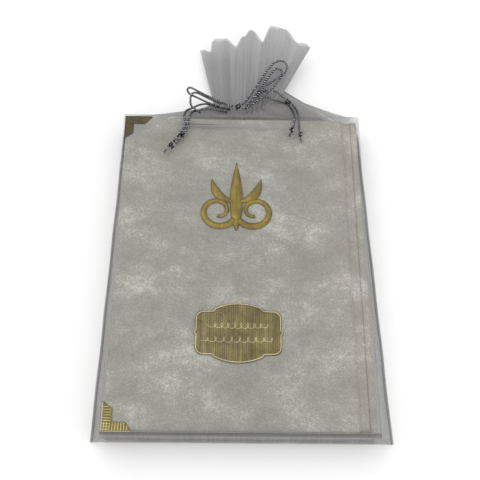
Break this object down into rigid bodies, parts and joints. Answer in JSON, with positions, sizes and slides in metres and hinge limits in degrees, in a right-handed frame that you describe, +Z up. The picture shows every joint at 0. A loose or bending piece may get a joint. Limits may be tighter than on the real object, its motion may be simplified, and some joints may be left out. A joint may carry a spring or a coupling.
{
  "type": "prayer book in pouch",
  "caption": "Small velvet-covered hardcover prayer book with gilt corners, ornament and name plate, lying in a sheer drawstring pouch tied with a metallic cord bow.",
  "frame": {"origin": "on the underside of the pouch, below the middle of the book's cover", "axes": "+Z up, +Y from the book's tail to its head and the pouch's neck, +X from the fore-edge to the spine"},
  "size_m": [0.1352, 0.2252, 0.0205],
  "materials": {
    "velvet": "crushed short-pile velvet, matt with a light nap",
    "greyboard": "grey binder's board",
    "endpaper": "cream endpaper",
    "page_paper": "cream book paper, page edges",
    "spine_lining": "glued open-weave mull with paper",
    "band": "woven two-tone head band",
    "corner_gilt": "polished gold-coloured stamped metal",
    "ornament_gilt": "gold-coloured stamped metal, seen dull through the pouch",
    "plate_gold": "brushed gold-coloured plate with a bright rim",
    "organza": "sheer grey organza",
    "organza_seam": "two plies of organza stitched together",
    "metallic_cord": "black and silver metallic twisted cord"
  },
  "bodies": {
    "pouch": {"pouch_back_panel": "organza", "pouch_front_panel": "organza", "drawstring_channel_front": "organza", "drawstring_channel_back": "organza", "pouch_frill_front": "organza", "pouch_frill_back": "organza", "pouch_side_seam_left": "organza_seam", "pouch_side_seam_right": "organza_seam", "pouch_tail_seam": "organza_seam", "cord_left_loop": "metallic_cord", "cord_left_hook": "metallic_cord", "cord_left_tail_a": "metallic_cord", "cord_left_tail_b": "metallic_cord", "cord_right_loop_outer": "metallic_cord", "cord_right_loop_inner": "metallic_cord", "cord_right_tail_a": "metallic_cord", "cord_right_tail_b": "metallic_cord", "cord_bow_knot": "metallic_cord", "cord_left_tail_knot": "metallic_cord", "cord_left_end_bead": "metallic_cord", "cord_right_tail_knot": "metallic_cord", "cord_right_end_knot_a": "metallic_cord", "cord_right_end_knot_b": "metallic_cord", "cord_left_frayed_tip": "metallic_cord", "cord_right_frayed_tip_a": "metallic_cord", "cord_right_frayed_tip_b": "metallic_cord"},
    "book": {"back_board": "greyboard", "back_cover_velvet": "velvet", "back_pastedown": "endpaper", "back_head_corner": "corner_gilt", "back_tail_corner": "corner_gilt", "spine_velvet": "velvet", "spine_board": "greyboard", "spine_lining": "spine_lining", "head_band": "band", "tail_band": "band", "back_flyleaf": "endpaper", "page_section_6": "page_paper"},
    "front_cover": {"front_board": "greyboard", "front_cover_velvet": "velvet", "front_pastedown": "endpaper", "front_head_corner": "corner_gilt", "front_tail_corner": "corner_gilt", "ornament": "ornament_gilt", "name_plate": "plate_gold"},
    "front_flyleaf": {"front_flyleaf": "endpaper"},
    "section_1": {"page_section_1": "page_paper"},
    "section_2": {"page_section_2": "page_paper"},
    "section_3": {"page_section_3": "page_paper"},
    "section_4": {"page_section_4": "page_paper"},
    "section_5": {"page_section_5": "page_paper"}
  },
  "joints": [
    {"name": "book_draws_out", "type": "slide", "parent": "pouch", "child": "book", "axis": [0, 1, 0], "range_m": [0, 0.245], "deforming": ["pouch_front_panel", "drawstring_channel_front", "drawstring_channel_back", "pouch_frill_front", "pouch_frill_back", "cord_left_loop", "cord_left_hook", "cord_left_tail_a", "cord_left_tail_b", "cord_right_loop_outer", "cord_right_loop_inner", "cord_right_tail_a", "cord_right_tail_b", "cord_bow_knot", "cord_left_tail_knot", "cord_left_end_bead", "cord_right_tail_knot", "cord_right_end_knot_a", "cord_right_end_knot_b", "cord_left_frayed_tip", "cord_right_frayed_tip_a", "cord_right_frayed_tip_b"]},
    {"name": "front_cover_hinge", "type": "hinge", "parent": "book", "child": "front_cover", "pos_m": [0.05665, 0, 0.0128], "axis": [0, 1, 0], "range_deg": [0, 184], "deforming": ["pouch_front_panel", "drawstring_channel_front", "drawstring_channel_back", "pouch_frill_front", "pouch_frill_back", "cord_left_loop", "cord_left_hook", "cord_left_tail_a", "cord_left_tail_b", "cord_right_loop_outer", "cord_right_loop_inner", "cord_right_tail_a", "cord_right_tail_b", "cord_bow_knot", "cord_left_tail_knot", "cord_left_end_bead", "cord_right_tail_knot", "cord_right_end_knot_a", "cord_right_end_knot_b", "cord_left_frayed_tip", "cord_right_frayed_tip_a", "cord_right_frayed_tip_b"]},
    {"name": "front_flyleaf_turn", "type": "hinge", "parent": "book", "child": "front_flyleaf", "pos_m": [0.0563, 0, 0.0106], "axis": [0, 1, 0], "range_deg": [0, 92]},
    {"name": "page_section_1_turn", "type": "hinge", "parent": "book", "child": "section_1", "pos_m": [0.0563, 0, 0.0106], "axis": [0, 1, 0], "range_deg": [0, 77.28]},
    {"name": "page_section_2_turn", "type": "hinge", "parent": "book", "child": "section_2", "pos_m": [0.0563, 0, 0.0106], "axis": [0, 1, 0], "range_deg": [0, 62.56]},
    {"name": "page_section_3_turn", "type": "hinge", "parent": "book", "child": "section_3", "pos_m": [0.0563, 0, 0.0106], "axis": [0, 1, 0], "range_deg": [0, 47.84]},
    {"name": "page_section_4_turn", "type": "hinge", "parent": "book", "child": "section_4", "pos_m": [0.0563, 0, 0.0106], "axis": [0, 1, 0], "range_deg": [0, 33.12]},
    {"name": "page_section_5_turn", "type": "hinge", "parent": "book", "child": "section_5", "pos_m": [0.0563, 0, 0.0106], "axis": [0, 1, 0], "range_deg": [0, 18.4]}
  ],
  "couplings": [
    {"joint": "front_flyleaf_turn", "follows": "front_cover_hinge", "ratio": 0.5},
    {"joint": "page_section_1_turn", "follows": "front_cover_hinge", "ratio": 0.42},
    {"joint": "page_section_2_turn", "follows": "front_cover_hinge", "ratio": 0.34},
    {"joint": "page_section_3_turn", "follows": "front_cover_hinge", "ratio": 0.26},
    {"joint": "page_section_4_turn", "follows": "front_cover_hinge", "ratio": 0.18},
    {"joint": "page_section_5_turn", "follows": "front_cover_hinge", "ratio": 0.1}
  ]
}
